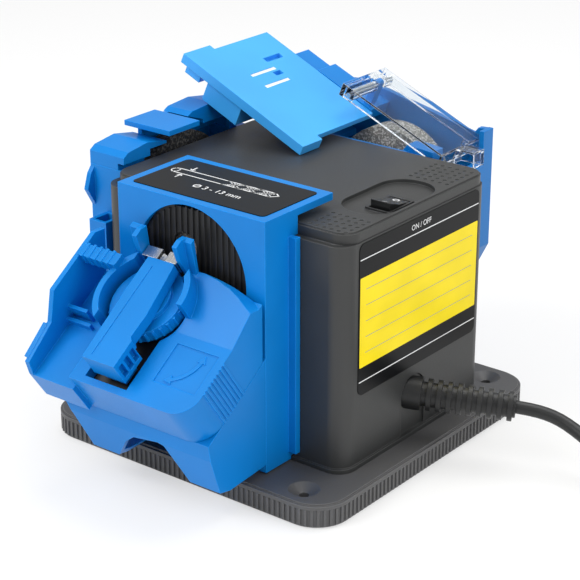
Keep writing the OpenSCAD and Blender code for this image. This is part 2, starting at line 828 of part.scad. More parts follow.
module clear_guard() {
  color("#dfe8ee", 0.35) difference() {
    union() {
      difference() {
        union() {
          on_guard() {
            box(0, guard_l, 0, guard_w, 0, 8);
            for (y = [1, guard_w - 3])
              box(0.5, 10, y, y + 2, -4, 1);
          }
          // lug at the lower end
          box(46, 62, gy + 14, gy + 24, 141, 150.5);
        }
        on_guard() box(2, guard_l - 2, 2, guard_w - 2, -1, 6);
        box(48, 60.5, gy + 15.5, gy + 22.5, 140, 149);
      }
      // hinge blocks
      on_guard() for (e = [[1.5, 25.7], [32.3, 40.5]])
        box(pin_l - 3, pin_l + 3, e[0], e[1], 1, 6.5);
    }
    on_guard() box(67, 79, 25.5, 32.5, -2, 6);
    along_y(pin_x, gy - 5, gy + 60, pin_z, 1.5 + fit);
  }
}
module guard_bracket() {
  color("#1f7fd6") difference() {
    union() {
      // sloped arm on the rear wall
      on_guard() box(66, 110, 25, 42.5, -18, -10.6);
      // stem that holds the hinge pin
      on_guard() front(26, 32, [[pin_l - 2.3, -12], [pin_l + 2.3, -12], [pin_l + 2.3, 4.5], [pin_l + 1.2, 5.6], [pin_l - 1.2, 5.6],
                                [pin_l - 2.3, 4.5]]);
    }
    on_guard() box(69, 107, 34.5, 40, -19, -13.5);
    along_y(pin_x, gy - 5, gy + 60, pin_z, 1.5);
  }
}
module guard_pin() {
  color("#b9bcbf") along_y(pin_x, gy + 0.3, gy + guard_w - 0.3, pin_z, 1.5);
}

// ---- power cord ----
function unit(v) = v / norm(v);
module swept(pts, r, n) {
  m = len(pts);
  dirs = [for (i = [0:m - 1]) unit(pts[min(i + 1, m - 1)] - pts[max(i - 1, 0)])];
  rings = [for (i = [0:m - 1])
            let (s = unit(cross(dirs[i], [0, 0, 1])), u = cross(s, dirs[i]))
              [for (k = [0:n - 1]) pts[i] + r * (cos(360 * k / n) * s + sin(360 * k / n) * u)]];
  polyhedron(
    points = [for (q = rings) for (v = q) v],
    faces = concat(
      [[for (k = [0:n - 1]) k]],
      [for (i = [0:m - 2]) for (k = [0:n - 1])
        [i * n + k, (i + 1) * n + k, (i + 1) * n + (k + 1) % n]],
      [for (i = [0:m - 2]) for (k = [0:n - 1])
        [i * n + k, (i + 1) * n + (k + 1) % n, i * n + (k + 1) % n]],
      [[for (k = [n - 1:-1:0]) (m - 1) * n + k]]));
}
module on_boot() {
  translate(boot_a)
    rotate([0, 90 + boot_pitch, boot_yaw])
      children();
}
module cord_boot() {
  // collar and ribbed sleeve, ending against the wall
  color("#1b1c1d") difference() {
    on_boot() {
      translate([0, 0, -6])
        cylinder(h = 11, r = 9.4, $fn = 48);
      cylinder(h = boot_l, r1 = 7, r2 = 6.2, $fn = 48);
      for (i = [0:8])
        translate([0, 0, 8 + i * 5.6])
          cylinder(h = 2.6, r = 9 - i * 0.08, $fn = 48);
    }
    box(hx - 20, hx - 1.18, -30, 30, 10, 70);
  }
  // neck through the wall
  color("#1b1c1d") on_boot()
    translate([0, 0, -9])
      cylinder(h = 12, r = 6.4, $fn = 48);
}
module power_cord() {
  color("#1b1c1d") swept(cord_pts, cord_d / 2, 12);
  color("#1b1c1d") swept(tail_pts, cord_d / 2, 12);
}
module cord_coil() {
  color("#1b1c1d") translate(coil_c)
    rotate_extrude($fn = 96)
      translate([coil_r, 0])
        for (p = [[0, 3.75], [-7.4, 3.75], [7.4, 3.75], [-3.7, 10.2], [3.7, 10.2]])
          translate(p)
            circle(d = cord_d, $fn = 24);
}
module cord_tie() {
  color("#e6e6e2") translate(coil_c + [coil_r, 0, 0])
    difference() {
      box(-12.6, 12.6, -2.5, 2.5, 0.2, 15.4);
      box(-11.4, 11.4, -4, 4, -1, 14.2);
    }
}
module plug_body() {
  color("#1b1c1d") translate(plug_at)
    rotate([0, 0, plug_rot]) {
      rotate([0, 90, 0])
        cylinder(h = 22, r1 = 5, r2 = 8, $fn = 48);
      translate([20, -12, -8])
        cube([20, 24, 16]);
    }
}
module plug_blades() {
  color("#c9b27a") translate(plug_at)
    rotate([0, 0, plug_rot])
      for (i = [-1, 1])
        translate([40, i * 6.35 - 0.75, -3.2])
          cube([17, 1.5, 6.4]);
}

base_plate();
rubber_feet();
base_screws();
housing_body();
housing_lid();
lid_screws();
side_label();
switch_frame();
rocker_switch();
motor_cradle();
motor_can();
rotor_core();
commutator();
motor_shaft();
cooling_fan();
front_bearing();
rear_bearing();
drive_cone();
driven_cone();
cross_shaft();
cross_bearings();
cross_bracket();
drill_wheel();
drill_wheel_nut();
chisel_wheel();
chisel_wheel_nut();
knife_wheel();
knife_wheel_nut();
drill_housing();
size_label();
wheel_screen();
drill_base();
table_pivot();
drill_table();
knob_well();
clamp_knob();
clamp_bar();
left_jaw();
right_jaw();
knife_station();
knife_hood();
knife_guide();
chisel_station();
chisel_rest();
chisel_rail();
chisel_sled();
sled_strips();
clear_guard();
guard_bracket();
guard_pin();
cord_boot();
power_cord();
cord_coil();
cord_tie();
plug_body();
plug_blades();
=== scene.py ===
"""Bench sharpener for drills, chisels and knives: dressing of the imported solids."""
import math

import bmesh
import bpy
from mathutils import Matrix, Vector


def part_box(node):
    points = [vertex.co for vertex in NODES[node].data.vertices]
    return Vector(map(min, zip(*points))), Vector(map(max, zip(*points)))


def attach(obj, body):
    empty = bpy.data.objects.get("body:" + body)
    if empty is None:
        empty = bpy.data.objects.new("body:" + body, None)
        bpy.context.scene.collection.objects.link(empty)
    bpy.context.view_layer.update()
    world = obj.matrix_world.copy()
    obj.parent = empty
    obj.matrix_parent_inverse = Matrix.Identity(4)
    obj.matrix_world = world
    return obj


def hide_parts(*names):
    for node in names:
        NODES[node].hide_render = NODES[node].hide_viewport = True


bl_info = {
    "name": "Bench Sharpener",
    "version": (1, 0, 0),
    "blender": (4, 5, 0),
    "location": "View3D > Sidebar > Sharpener",
    "description": "Dresses the bench sharpener's solids and adds its moulded, printed and cord details",
    "category": "Object",
}

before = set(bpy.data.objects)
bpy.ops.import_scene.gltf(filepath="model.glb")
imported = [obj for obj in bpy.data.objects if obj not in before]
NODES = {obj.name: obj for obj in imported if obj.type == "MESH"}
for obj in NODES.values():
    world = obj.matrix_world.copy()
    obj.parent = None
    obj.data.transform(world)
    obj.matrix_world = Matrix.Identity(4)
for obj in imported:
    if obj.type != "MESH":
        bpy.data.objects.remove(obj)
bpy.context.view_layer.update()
MM = 0.001
BEVEL_SAMPLES = 6

# Camera: the frame and its optical centre in pixels, the focal length in pixels, the distance and aim in metres.
FRAME_PX = 580
CENTRE_PX = (293.61, 302.78)
FOCAL_PX = 1868.82
SENSOR_MM = 36.0
CAMERA_AZIMUTH, CAMERA_HEIGHT = math.radians(38.07), math.radians(22.93)
CAMERA_DISTANCE = 1.06664
CAMERA_AIM = (0.0, 0.0, 0.07111)

# Base plate, in metres: its lip's corner radius, and how far the ribs stop short of its underside and top.
BASE_CORNER = 0.020
RIBS_ABOVE_UNDERSIDE, RIBS_BELOW_TOP = 0.0012, 0.0032

# Printed film, in metres: how far it stands off its ground, how thick it is, and where ink on top of it starts.
FILM_GAP = 0.00002
FILM_THICK = 0.00005
OVER_FILM = 0.00008
# Lettering is a solid of this half thickness, about a plane this far off its ground.
WORDS_HALF = 0.00004
WORDS_LIFT = 0.00006

# Side sticker as (y0, z0, y1, z1) and heights, in metres.
YELLOW_FIELD = (-0.0512, 0.0722, 0.0592, 0.1232)
WHITE_RULES_Z = (0.1333, 0.0640)
ON_OFF_PLACE = (0.0035, 0.1374, 0)
FORM_RULES, FORM_TOP, FORM_PITCH = 5, 0.116, 0.0090
FORM_SPAN = (-0.046, 0.054)

# Top sticker: how far the drill's centre line lies behind the sticker's middle, in millimetres.
DRILL_RISE = 5.0

# The rocker's two faces as (y, z) in metres: the crest between them and their outer ends.
ROCKER_CREST, ROCKER_REAR, ROCKER_FRONT = (-0.0066, 0.1497), (0.0026, 0.1485), (-0.0154, 0.1527)
ROCKER_REAR_LENGTH = 0.00928
ROCKER_MIDDLE_X = 0.0699

# Tops of the two lid screws' heads, in metres.
LID_SCREWS = ((-0.050, 0.061, 0.1515), (0.030, -0.050, 0.1515))

# Stage: share of the floor's own white, strength of the sky, and each softbox's place, width and watts.
FLOOR_GLOW = 0.55
SKY_STRENGTH = 0.52
SOFTBOXES = (("key_softbox", (-0.55, -0.95, 1.15), 0.9, 14.0),
             ("fill_softbox", (1.25, -0.35, 0.75), 0.9, 6.5),
             ("top_softbox", (0.1, 0.5, 1.5), 1.1, 12.5))
SOFTBOX_AIM = (0, 0, 0.09)


# ---------------------------------------------------------------- helpers
def hex_linear(code):
    """An sRGB hex colour as the linear colour that a shader takes."""
    out = []
    for i in (1, 3, 5):
        c = int(code[i:i + 2], 16) / 255
        out.append(c / 12.92 if c <= 0.04045 else ((c + 0.055) / 1.055) ** 2.4)
    return (*out, 1.0)


def shade(colour, factor):
    """A colour made darker or lighter by factor."""
    return (*[min(1.0, c * factor) for c in colour[:3]], 1.0)


def look():
    """The settings shown in the sidebar."""
    return bpy.context.scene.sharpener_look


def fill_inputs(node, inputs):
    """Sets a node's inputs by name or number; a value that is another node's output is linked."""
    for key, value in inputs.items():
        if isinstance(value, bpy.types.NodeSocket):
            node.id_data.links.new(value, node.inputs[key])
        else:
            node.inputs[key].default_value = value


def add_node(tree, kind, inputs=None, out=0, stops=(), **settings):
    """Adds a node with its settings, inputs and colour stops, and gives back the output that out names."""
    node = tree.nodes.new(kind)
    for key, value in settings.items():
        setattr(node, key, value)
    fill_inputs(node, inputs or {})
    for i, (position, colour) in enumerate(stops):
        band = node.color_ramp.elements
        stop = band[i] if i < len(band) else band.new(position)
        stop.position, stop.color = position, colour
    return node.outputs[out] if node.outputs else node


def new_material(name, **surface):
    """A material with only its Principled surface and output; surface sets constant sockets."""
    mat = bpy.data.materials.new(name)
    mat.use_nodes = True
    tree = mat.node_tree
    tree.nodes.clear()
    constant = {key.replace("_", " "): value for key, value in surface.items()}
    shader = add_node(tree, "ShaderNodeBsdfPrincipled", constant)
    add_node(tree, "ShaderNodeOutputMaterial", {"Surface": shader})
    return mat, tree, shader.node


# ---------------------------------------------------------------- materials
# Object coordinates are metres, so a pattern whose features are N mm across has the scale 1000 / N.
def wear_and_highlight_mask(tree, radius_mm, gain):
    """0 on flat faces, towards 1 on the edges: the mask for edge wear and for a painted highlight on the edges."""
    bevel_normal = add_node(tree, "ShaderNodeBevel", {"Radius": radius_mm * MM}, samples=BEVEL_SAMPLES)
    flat = add_node(tree, "ShaderNodeNewGeometry", out="Normal")
    same = add_node(tree, "ShaderNodeVectorMath", {0: bevel_normal, 1: flat}, out="Value", operation="DOT_PRODUCT")
    turned = add_node(tree, "ShaderNodeMath", {0: 1.0, 1: same}, operation="SUBTRACT")
    return add_node(tree, "ShaderNodeMath", {0: turned, 1: gain}, operation="MULTIPLY", use_clamp=True)


def moulded_abs(name, colour, grain_mm, rough, bump, wear_and_highlight_gain, wear_and_highlight_tone, gloss=0.5):
    """Injection-moulded ABS: an even colour, a fine spark-eroded grain, and edges mixed towards a lighter tone that
    is partly wear and partly a painted highlight.
    """
    mat, tree, surface = new_material(name, Roughness=rough, IOR=1.53, Specular_IOR_Level=gloss)
    coords = add_node(tree, "ShaderNodeTexCoord", out="Object")
    cloud = add_node(tree, "ShaderNodeTexNoise",
                     {"Vector": coords, "Scale": 1000 / 45.0, "Detail": 2.0, "Roughness": 0.55})
    base = add_node(tree, "ShaderNodeValToRGB", {"Fac": cloud},
                    stops=[(0.3, shade(colour, 0.94)), (0.7, shade(colour, 1.05))])
    # The edges are mixed towards a lighter tone: partly wear, partly a painted highlight.
    wear_and_highlight = wear_and_highlight_mask(tree, 1.0, wear_and_highlight_gain)
    tint = add_node(tree, "ShaderNodeMix", {0: wear_and_highlight, 6: base, 7: shade(colour, wear_and_highlight_tone)}, out=2, data_type="RGBA")
    grain = add_node(tree, "ShaderNodeTexNoise",
                     {"Vector": coords, "Scale": 1000 / grain_mm, "Detail": 4.0, "Roughness": 0.55})
    sheen = add_node(tree, "ShaderNodeMapRange", {"Value": grain, "To Min": rough - 0.07, "To Max": rough + 0.09})
    soft = add_node(tree, "ShaderNodeBevel", {"Radius": 0.6 * MM}, samples=BEVEL_SAMPLES)
    relief = add_node(tree, "ShaderNodeBump",
                      {"Height": grain, "Strength": bump, "Distance": 0.12 * MM, "Normal": soft})
    fill_inputs(surface, {"Base Color": tint, "Roughness": sheen, "Normal": relief})
    return mat


def worked_metal(name, colour, rough, line_mm, axis=1):
    """Turned, ground, rolled or cast metal: fine lines across the axis that stretch the highlight."""
    mat, tree, surface = new_material(name, Metallic=1.0, Roughness=rough)
    coords = add_node(tree, "ShaderNodeTexCoord", out="Object")
    # Along a tool line the tone changes only about every 33 mm.
    stretch = [30.0, 30.0, 30.0]
    stretch[axis] = 1000 / line_mm
    stretched = add_node(tree, "ShaderNodeMapping", {"Vector": coords, "Scale": tuple(stretch)})
    lines = add_node(tree, "ShaderNodeTexNoise", {"Vector": stretched, "Scale": 1.0, "Detail": 2.0})
    tint = add_node(tree, "ShaderNodeValToRGB", {"Fac": lines},
                    stops=[(0.3, shade(colour, 0.82)), (0.7, shade(colour, 1.12))])
    sheen = add_node(tree, "ShaderNodeMapRange", {"Value": lines, "To Min": rough - 0.08, "To Max": rough + 0.12})
    soft = add_node(tree, "ShaderNodeBevel", {"Radius": 0.3 * MM}, samples=BEVEL_SAMPLES)
    relief = add_node(tree, "ShaderNodeBump",
                      {"Height": lines, "Strength": 0.25, "Distance": 0.05 * MM, "Normal": soft})
    fill_inputs(surface, {"Base Color": tint, "Roughness": sheen, "Normal": relief})
    return mat


def bonded_abrasive(name, dark, pale, grit_mm):
    """Vitrified grinding stone: pale and dark grit in a matte bond, rough to the touch."""
    mat, tree, surface = new_material(name, Roughness=0.95)
    coords = add_node(tree, "ShaderNodeTexCoord", out="Object")
    cells = add_node(tree, "ShaderNodeTexVoronoi", {"Vector": coords, "Scale": 1000 / grit_mm, "Randomness": 1.0},
                     out="Color")
    speck = add_node(tree, "ShaderNodeSeparateColor", {"Color": cells})
    dirt = add_node(tree, "ShaderNodeTexNoise",
                    {"Vector": coords, "Scale": 1000 / 14.0, "Detail": 3.0, "Roughness": 0.55})
    stone = add_node(tree, "ShaderNodeValToRGB", {"Fac": speck},
                     stops=[(0.0, dark), (0.55, shade(dark, 1.6)), (0.9, pale)])
    soiling = add_node(tree, "ShaderNodeMapRange", {"Value": dirt, "To Min": 0.0, "To Max": 0.35})
    tint = add_node(tree, "ShaderNodeMix", {0: soiling, 6: stone, 7: shade(dark, 0.6)}, out=2, data_type="RGBA")
    soft = add_node(tree, "ShaderNodeBevel", {"Radius": 0.5 * MM}, samples=BEVEL_SAMPLES)
    relief = add_node(tree, "ShaderNodeBump", {"Height": cells.node.outputs["Distance"], "Strength": 0.9,
                                               "Distance": 0.4 * MM, "Normal": soft})
    fill_inputs(surface, {"Base Color": tint, "Normal": relief})
    return mat


def rubbery(name, colour, grain_mm, rough):
    """Soft PVC or rubber: dull, with a faint bloom and fine pores."""
    mat, tree, surface = new_material(name, Roughness=rough, IOR=1.52)
    coords = add_node(tree, "ShaderNodeTexCoord", out="Object")
    bloom = add_node(tree, "ShaderNodeTexNoise",
                     {"Vector": coords, "Scale": 1000 / 25.0, "Detail": 3.0, "Roughness": 0.55})
    pores = add_node(tree, "ShaderNodeTexNoise",
                     {"Vector": coords, "Scale": 1000 / grain_mm, "Detail": 3.0, "Roughness": 0.55})
    tint = add_node(tree, "ShaderNodeValToRGB", {"Fac": bloom},
                    stops=[(0.35, shade(colour, 0.85)), (0.75, shade(colour, 1.5))])
    sheen = add_node(tree, "ShaderNodeMapRange", {"Value": pores, "To Min": rough - 0.06, "To Max": rough + 0.1})
    soft = add_node(tree, "ShaderNodeBevel", {"Radius": 0.4 * MM}, samples=BEVEL_SAMPLES)
    relief = add_node(tree, "ShaderNodeBump",
                      {"Height": pores, "Strength": 0.25, "Distance": 0.1 * MM, "Normal": soft})
    fill_inputs(surface, {"Base Color": tint, "Roughness": sheen, "Normal": relief})
    return mat


def printed_vinyl(name, colour, rough=0.3):
    """Laminated vinyl sticker: smooth, faintly shiny, with a very slight waviness where it is stuck down."""
    mat, tree, surface = new_material(name, Roughness=rough, IOR=1.5, Specular_IOR_Level=0.15)
    coords = add_node(tree, "ShaderNodeTexCoord", out="Object")
    wave = add_node(tree, "ShaderNodeTexNoise",
                    {"Vector": coords, "Scale": 1000 / 22.0, "Detail": 1.0, "Roughness": 0.55})
    tint = add_node(tree, "ShaderNodeValToRGB", {"Fac": wave},
                    stops=[(0.3, shade(colour, 0.95)), (0.7, shade(colour, 1.03))])
    relief = add_node(tree, "ShaderNodeBump", {"Height": wave, "Strength": 0.12, "Distance": 0.25 * MM})
    fill_inputs(surface, {"Base Color": tint, "Normal": relief})
    return mat


def clear_polycarbonate(name):
    """Moulded clear polycarbonate: transparent, slightly cloudy with fine scratches, and paler on its edges as a
    painted highlight.
    """
    # Polycarbonate's typical IOR is 1.58; the lower value was matched.
    mat, tree, surface = new_material(name, Base_Color=hex_linear("#F4F8FB"), Roughness=0.04, IOR=1.2,
                                      Transmission_Weight=1.0, Specular_IOR_Level=0.45)
    coords = add_node(tree, "ShaderNodeTexCoord", out="Object")
    haze = add_node(tree, "ShaderNodeTexNoise",
                    {"Vector": coords, "Scale": 1000 / 9.0, "Detail": 3.0, "Roughness": 0.55})
    sheen = add_node(tree, "ShaderNodeMapRange", {"Value": haze, "To Min": 0.02, "To Max": 0.10})
    # Less transmission on the edges shows the pale base colour there: a painted highlight.
    edge_highlight_weight = add_node(tree, "ShaderNodeMapRange", {"Value": wear_and_highlight_mask(tree, 0.7, 2.0), "To Min": 1.0, "To Max": 0.5})
    soft = add_node(tree, "ShaderNodeBevel", {"Radius": 0.5 * MM}, samples=BEVEL_SAMPLES)
    relief = add_node(tree, "ShaderNodeBump",
                      {"Height": haze, "Strength": 0.06, "Distance": 0.1 * MM, "Normal": soft})
    fill_inputs(surface, {"Roughness": sheen, "Transmission Weight": edge_highlight_weight, "Normal": relief})
    return mat


def chosen_colour(value):
    """A colour setting as the linear colour that a shader takes."""
    return hex_linear("#%02x%02x%02x" % tuple(round(255 * c) for c in value))


def make_materials():
    """All finishes of the sharpener, by name."""
    blue = chosen_colour(look().blue)
    pale = chosen_colour(look().pale_blue)
    grey = chosen_colour(look().housing)
    base = chosen_colour(look().base)
    # Patterns too fine to show are drawn coarser, as the sizes in millimetres below. The real ones are assumed and
    # not measured: about 0.5 mm for the mould's grain, 0.1 mm for a tool line, 0.2 mm for grit and 0.3 mm for a pore.
    return {
        # ABS off a polished mould: full blue with soft highlights, paler on its edges, partly where they are broken
        # and partly as a painted highlight.
        "blue_abs": moulded_abs("abs_blue_moulded", blue, 0.8, 0.34, 0.10, 2.2, 1.75, 0.22),
        "pale_blue_abs": moulded_abs("abs_light_blue_moulded", pale, 0.8, 0.36, 0.10, 2.2, 1.45, 0.3),
        # The same ABS on the rear station, a little darker: painted shade.
        "shade_painted_blue_abs": moulded_abs("abs_blue_rear_painted_shade", shade(blue, 0.85), 0.8, 0.36, 0.10, 2.2, 1.6, 0.3),
        # ABS off a spark-eroded mould: charcoal, with a grain that breaks up the highlight.
        "grey_abs": moulded_abs("abs_dark_grey_textured", grey, 0.8, 0.42, 0.30, 2.5, 2.6),
        "base_abs": moulded_abs("abs_black_textured", base, 0.9, 0.48, 0.35, 2.5, 2.4),
        # Smooth black ABS swallows the light; nylon is as dark, with a brighter painted highlight on its edges.
        "black_abs": moulded_abs("abs_black_smooth", hex_linear("#0F1011"), 1.0, 0.5, 0.12, 2.0, 2.0),
        "switch": moulded_abs("nylon_black_moulded", hex_linear("#151617"), 0.7, 0.3, 0.08, 2.5, 3.0),
        # Nylon without paint: the fan a dull charcoal, the cord's tie a milky white.
        "fan": moulded_abs("nylon_fan_moulded", hex_linear("#1C1D1F"), 0.8, 0.45, 0.1, 2.0, 1.8),
        "tie": moulded_abs("nylon_tie_moulded", hex_linear("#DAD9D2"), 0.8, 0.45, 0.05, 1.5, 1.05),
        # Zinc plate is pale and softly shiny, ground steel brighter, with fine lines from the wheel.
        "zinc": worked_metal("steel_zinc_plated", hex_linear("#B9BCBF"), 0.32, 0.6, 2),
        "ground": worked_metal("steel_ground", hex_linear("#D0D2D4"), 0.2, 0.4, 0),
        "bright": worked_metal("steel_bright_strip", hex_linear("#F0F2F4"), 0.4, 0.5, 0),
        # Rolled, laminated and cast metal are greyer and duller, with coarser lines.
        "can": worked_metal("steel_rolled_can", hex_linear("#9DA0A3"), 0.35, 1.2, 1),
        "laminated": worked_metal("steel_laminated", hex_linear("#77797C"), 0.45, 0.5, 1),
        "cast": worked_metal("aluminium_cast", hex_linear("#A3A5A8"), 0.55, 2.0, 2),
        # Turned copper is warm and clean, stamped brass yellow and close to polished.
        "copper": worked_metal("copper_turned", hex_linear("#B87345"), 0.3, 0.5, 1),
        "brass": worked_metal("brass_stamped", hex_linear("#C9AE6B"), 0.25, 0.8, 0),
        # Bonded grit: a dry, speckled surface without any shine.
        "grey_stone": bonded_abrasive("aluminium_oxide_stone", hex_linear("#6E6B66"), hex_linear("#CFCBC3"), 0.9),
        "black_stone": bonded_abrasive("silicon_carbide_stone", hex_linear("#1B1B1B"), hex_linear("#57544F"), 1.1),
        # Moulded rubber is dull with a faint bloom; extruded PVC has a soft gloss along the cord.
        "rubber": rubbery("rubber_moulded", hex_linear("#161616"), 0.9, 0.75),
        "friction_rubber": rubbery("rubber_brown_friction", hex_linear("#4A2E1E"), 1.0, 0.8),
        "pvc": rubbery("pvc_cord_extruded", hex_linear("#151617"), 0.8, 0.42),
        # Printed vinyl: flat, even ink under a thin film.
        "sticker_black": printed_vinyl("vinyl_black_printed", hex_linear("#0B0C0E")),
        "sticker_yellow": printed_vinyl("vinyl_yellow_printed", hex_linear("#F7DE1E"), 0.25),
        "ink_white": printed_vinyl("vinyl_white_ink", hex_linear("#E8E9EA"), 0.3),
        "ink_grey": printed_vinyl("vinyl_grey_ink", hex_linear("#8B8D90"), 0.3),
        # Clear polycarbonate: seen through, and caught by the light on its edges.
        "clear": clear_polycarbonate("polycarbonate_clear_moulded"),
    }


FINISH = {
    "base_abs": ["base_plate"],
    "grey_abs": ["housing_body", "housing_lid"],
    "rubber": ["rubber_feet"],
    "blue_abs": ["drill_housing", "drill_base", "drill_table", "knife_station", "knife_hood", "knife_guide",
                 "chisel_rail", "guard_bracket", "clamp_knob", "clamp_bar"],
    # The rear station takes the station blue darkened as painted shade.
    "shade_painted_blue_abs": ["chisel_station", "chisel_rest"],
    "pale_blue_abs": ["chisel_sled"],
    "black_abs": ["wheel_screen", "knob_well"],
    "switch": ["switch_frame", "rocker_switch"],
    "fan": ["cooling_fan"],
    "tie": ["cord_tie"],
    "zinc": ["base_screws", "lid_screws", "drill_wheel_nut", "chisel_wheel_nut", "knife_wheel_nut", "table_pivot",
             "guard_pin"],
    "ground": ["motor_shaft", "cross_shaft", "front_bearing", "rear_bearing", "cross_bearings", "left_jaw",
               "right_jaw"],
    "bright": ["sled_strips"],
    "can": ["motor_can"],
    "laminated": ["rotor_core"],
    "cast": ["motor_cradle", "cross_bracket"],
    "copper": ["commutator"],
    "brass": ["plug_blades"],
    "grey_stone": ["drill_wheel", "chisel_wheel"],
    "black_stone": ["knife_wheel"],
    "friction_rubber": ["drive_cone", "driven_cone"],
    "pvc": ["cord_boot", "power_cord", "cord_coil", "plug_body"],
    "sticker_black": ["side_label", "size_label"],
    "clear": ["clear_guard"],
}
KIT = {}


# ---------------------------------------------------------------- mesh building
def place_piece(name, mesh, material, body):
    """Puts a mesh in the scene as a named piece that rides on a body."""
    obj = bpy.data.objects.new(name, mesh)
    bpy.context.scene.collection.objects.link(obj)
    obj.data.materials.clear()
    obj.data.materials.append(KIT[material])
    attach(obj, body)


def piece_from(name, bm, material, body):
    """Turns a bmesh into a named piece that rides on a body."""
    mesh = bpy.data.meshes.new(name)
    bm.normal_update()
    bm.to_mesh(mesh)
    bm.free()
    place_piece(name, mesh, material, body)


def add_block(bm, centre, size, turn=None):
    """A block of size about centre, in metres; turn is an optional 3x3 rotation."""
    made = bmesh.ops.create_cube(bm, size=1.0)["verts"]
    for v in made:
        co = Vector((v.co.x * size[0], v.co.y * size[1], v.co.z * size[2]))
        v.co = (turn @ co if turn else co) + Vector(centre)
    return made


def add_strip(bm, points, width, thick, place):
    """A flat printed line of width through 2D points; place maps (u, v, height) to space."""
    for (u0, v0), (u1, v1) in zip(points, points[1:]):
        d = Vector((u1 - u0, v1 - v0))
        if d.length < 1e-9:
            continue
        d.normalize()
        n = Vector((-d.y, d.x)) * width / 2
        # each length runs on a little past its ends, so that corners close
        e = d * width * 0.35
        ring = [(u0 - e.x + n.x, v0 - e.y + n.y), (u0 - e.x - n.x, v0 - e.y - n.y),
                (u1 + e.x - n.x, v1 + e.y - n.y), (u1 + e.x + n.x, v1 + e.y + n.y)]
        add_plate(bm, ring, thick, place)


def add_plate(bm, ring, thick, place):
    """A thin plate with the 2D outline ring."""
    low = [bm.verts.new(place(u, v, 0.0)) for u, v in ring]
    high = [bm.verts.new(place(u, v, thick)) for u, v in ring]
    n = len(ring)
    bm.faces.new(low[::-1])
    bm.faces.new(high)
    for i in range(n):
        bm.faces.new((low[i], low[(i + 1) % n], high[(i + 1) % n], high[i]))


def rounded_ring(u0, v0, u1, v1, r, steps=8):
    """Outline of a rectangle with corners of radius r."""
    ring = []
    for cu, cv, a0 in ((u1 - r, v1 - r, 0), (u0 + r, v1 - r, 90), (u0 + r, v0 + r, 180), (u1 - r, v0 + r, 270)):
        for i in range(steps + 1):
            a = math.radians(a0 + 90 * i / steps)
            ring.append((cu + r * math.cos(a), cv + r * math.sin(a)))
    return ring


def words(name, text, size, material, matrix, body):
    """Printed or moulded lettering as a thin solid."""
    curve = bpy.data.curves.new(name, "FONT")
    curve.body = text
    curve.size = size
    curve.align_x = "CENTER"
    curve.align_y = "CENTER"
    curve.extrude = WORDS_HALF
    curve.resolution_u = 4
    holder = bpy.data.objects.new(name + "_font", curve)
    bpy.context.scene.collection.objects.link(holder)
    bpy.context.view_layer.update()
    mesh = bpy.data.meshes.new_from_object(holder.evaluated_get(bpy.context.evaluated_depsgraph_get()))
    bpy.data.objects.remove(holder)
    bpy.data.curves.remove(curve)
    mesh.transform(matrix)
    mesh.name = name
    place_piece(name, mesh, material, body)


# ---------------------------------------------------------------- settings
class SharpenerLook(bpy.types.PropertyGroup):
    """Colours and detail sizes of the sharpener."""

    blue: bpy.props.FloatVectorProperty(name="Station blue", description="Colour of the moulded grinding stations",
                                        subtype="COLOR_GAMMA", size=3, min=0, max=1, default=(0.01, 0.475, 0.79))
    pale_blue: bpy.props.FloatVectorProperty(name="Handle blue", description="Colour of the chisel sled",
                                             subtype="COLOR_GAMMA", size=3, min=0, max=1, default=(0.24, 0.64, 0.93))
    housing: bpy.props.FloatVectorProperty(name="Housing grey", description="Colour of the motor housing",
                                           subtype="COLOR_GAMMA", size=3, min=0, max=1, default=(0.185, 0.187, 0.19))
    base: bpy.props.FloatVectorProperty(name="Base black", description="Colour of the base plate",
                                        subtype="COLOR_GAMMA", size=3, min=0, max=1, default=(0.31, 0.31, 0.315))
    rib_pitch: bpy.props.FloatProperty(name="Rib pitch", description="Spacing of the grip ribs round the base",
                                       unit="LENGTH", default=0.0035, min=0.002, max=0.01)
    rib_depth: bpy.props.FloatProperty(name="Rib depth", description="How far the base ribs stand out",
                                       unit="LENGTH", default=0.0008, min=0.0003, max=0.002)
    ink_width: bpy.props.FloatProperty(name="Printed line", description="Width of the printed lines",
                                       unit="LENGTH", default=0.0007, min=0.0003, max=0.002)
    cord_diameter: bpy.props.FloatProperty(name="Cord diameter", description="Diameter of the power cord",
                                           unit="LENGTH", default=0.0075, min=0.006, max=0.009)


# ---------------------------------------------------------------- operators
class SHARPENER_OT_camera(bpy.types.Operator):
    """Three-quarter view from the switch side, above the bench"""

    bl_idname = "sharpener.camera"
    bl_label = "Camera"

    def execute(self, context):
        az, el = CAMERA_AZIMUTH, CAMERA_HEIGHT
        back = Vector((math.sin(az) * math.cos(el), -math.cos(az) * math.cos(el), math.sin(el)))
        data = bpy.data.cameras.new("bench_camera")
        cam = bpy.data.objects.new("bench_camera", data)
        context.scene.collection.objects.link(cam)
        cam.location = Vector(CAMERA_AIM) + back * CAMERA_DISTANCE
        right = (-back).cross(Vector((0, 0, 1))).normalized()
        up = right.cross(-back)
        cam.matrix_world = Matrix.Translation(cam.location) @ Matrix((right, up, back)).transposed().to_4x4()
        data.sensor_width = SENSOR_MM
        data.lens = FOCAL_PX / FRAME_PX * SENSOR_MM
        data.shift_x = -(CENTRE_PX[0] - FRAME_PX / 2) / FRAME_PX
        data.shift_y = (CENTRE_PX[1] - FRAME_PX / 2) / FRAME_PX
        data.clip_start = 0.05
        data.dof.use_dof = False
        context.scene.camera = cam
        return {"FINISHED"}


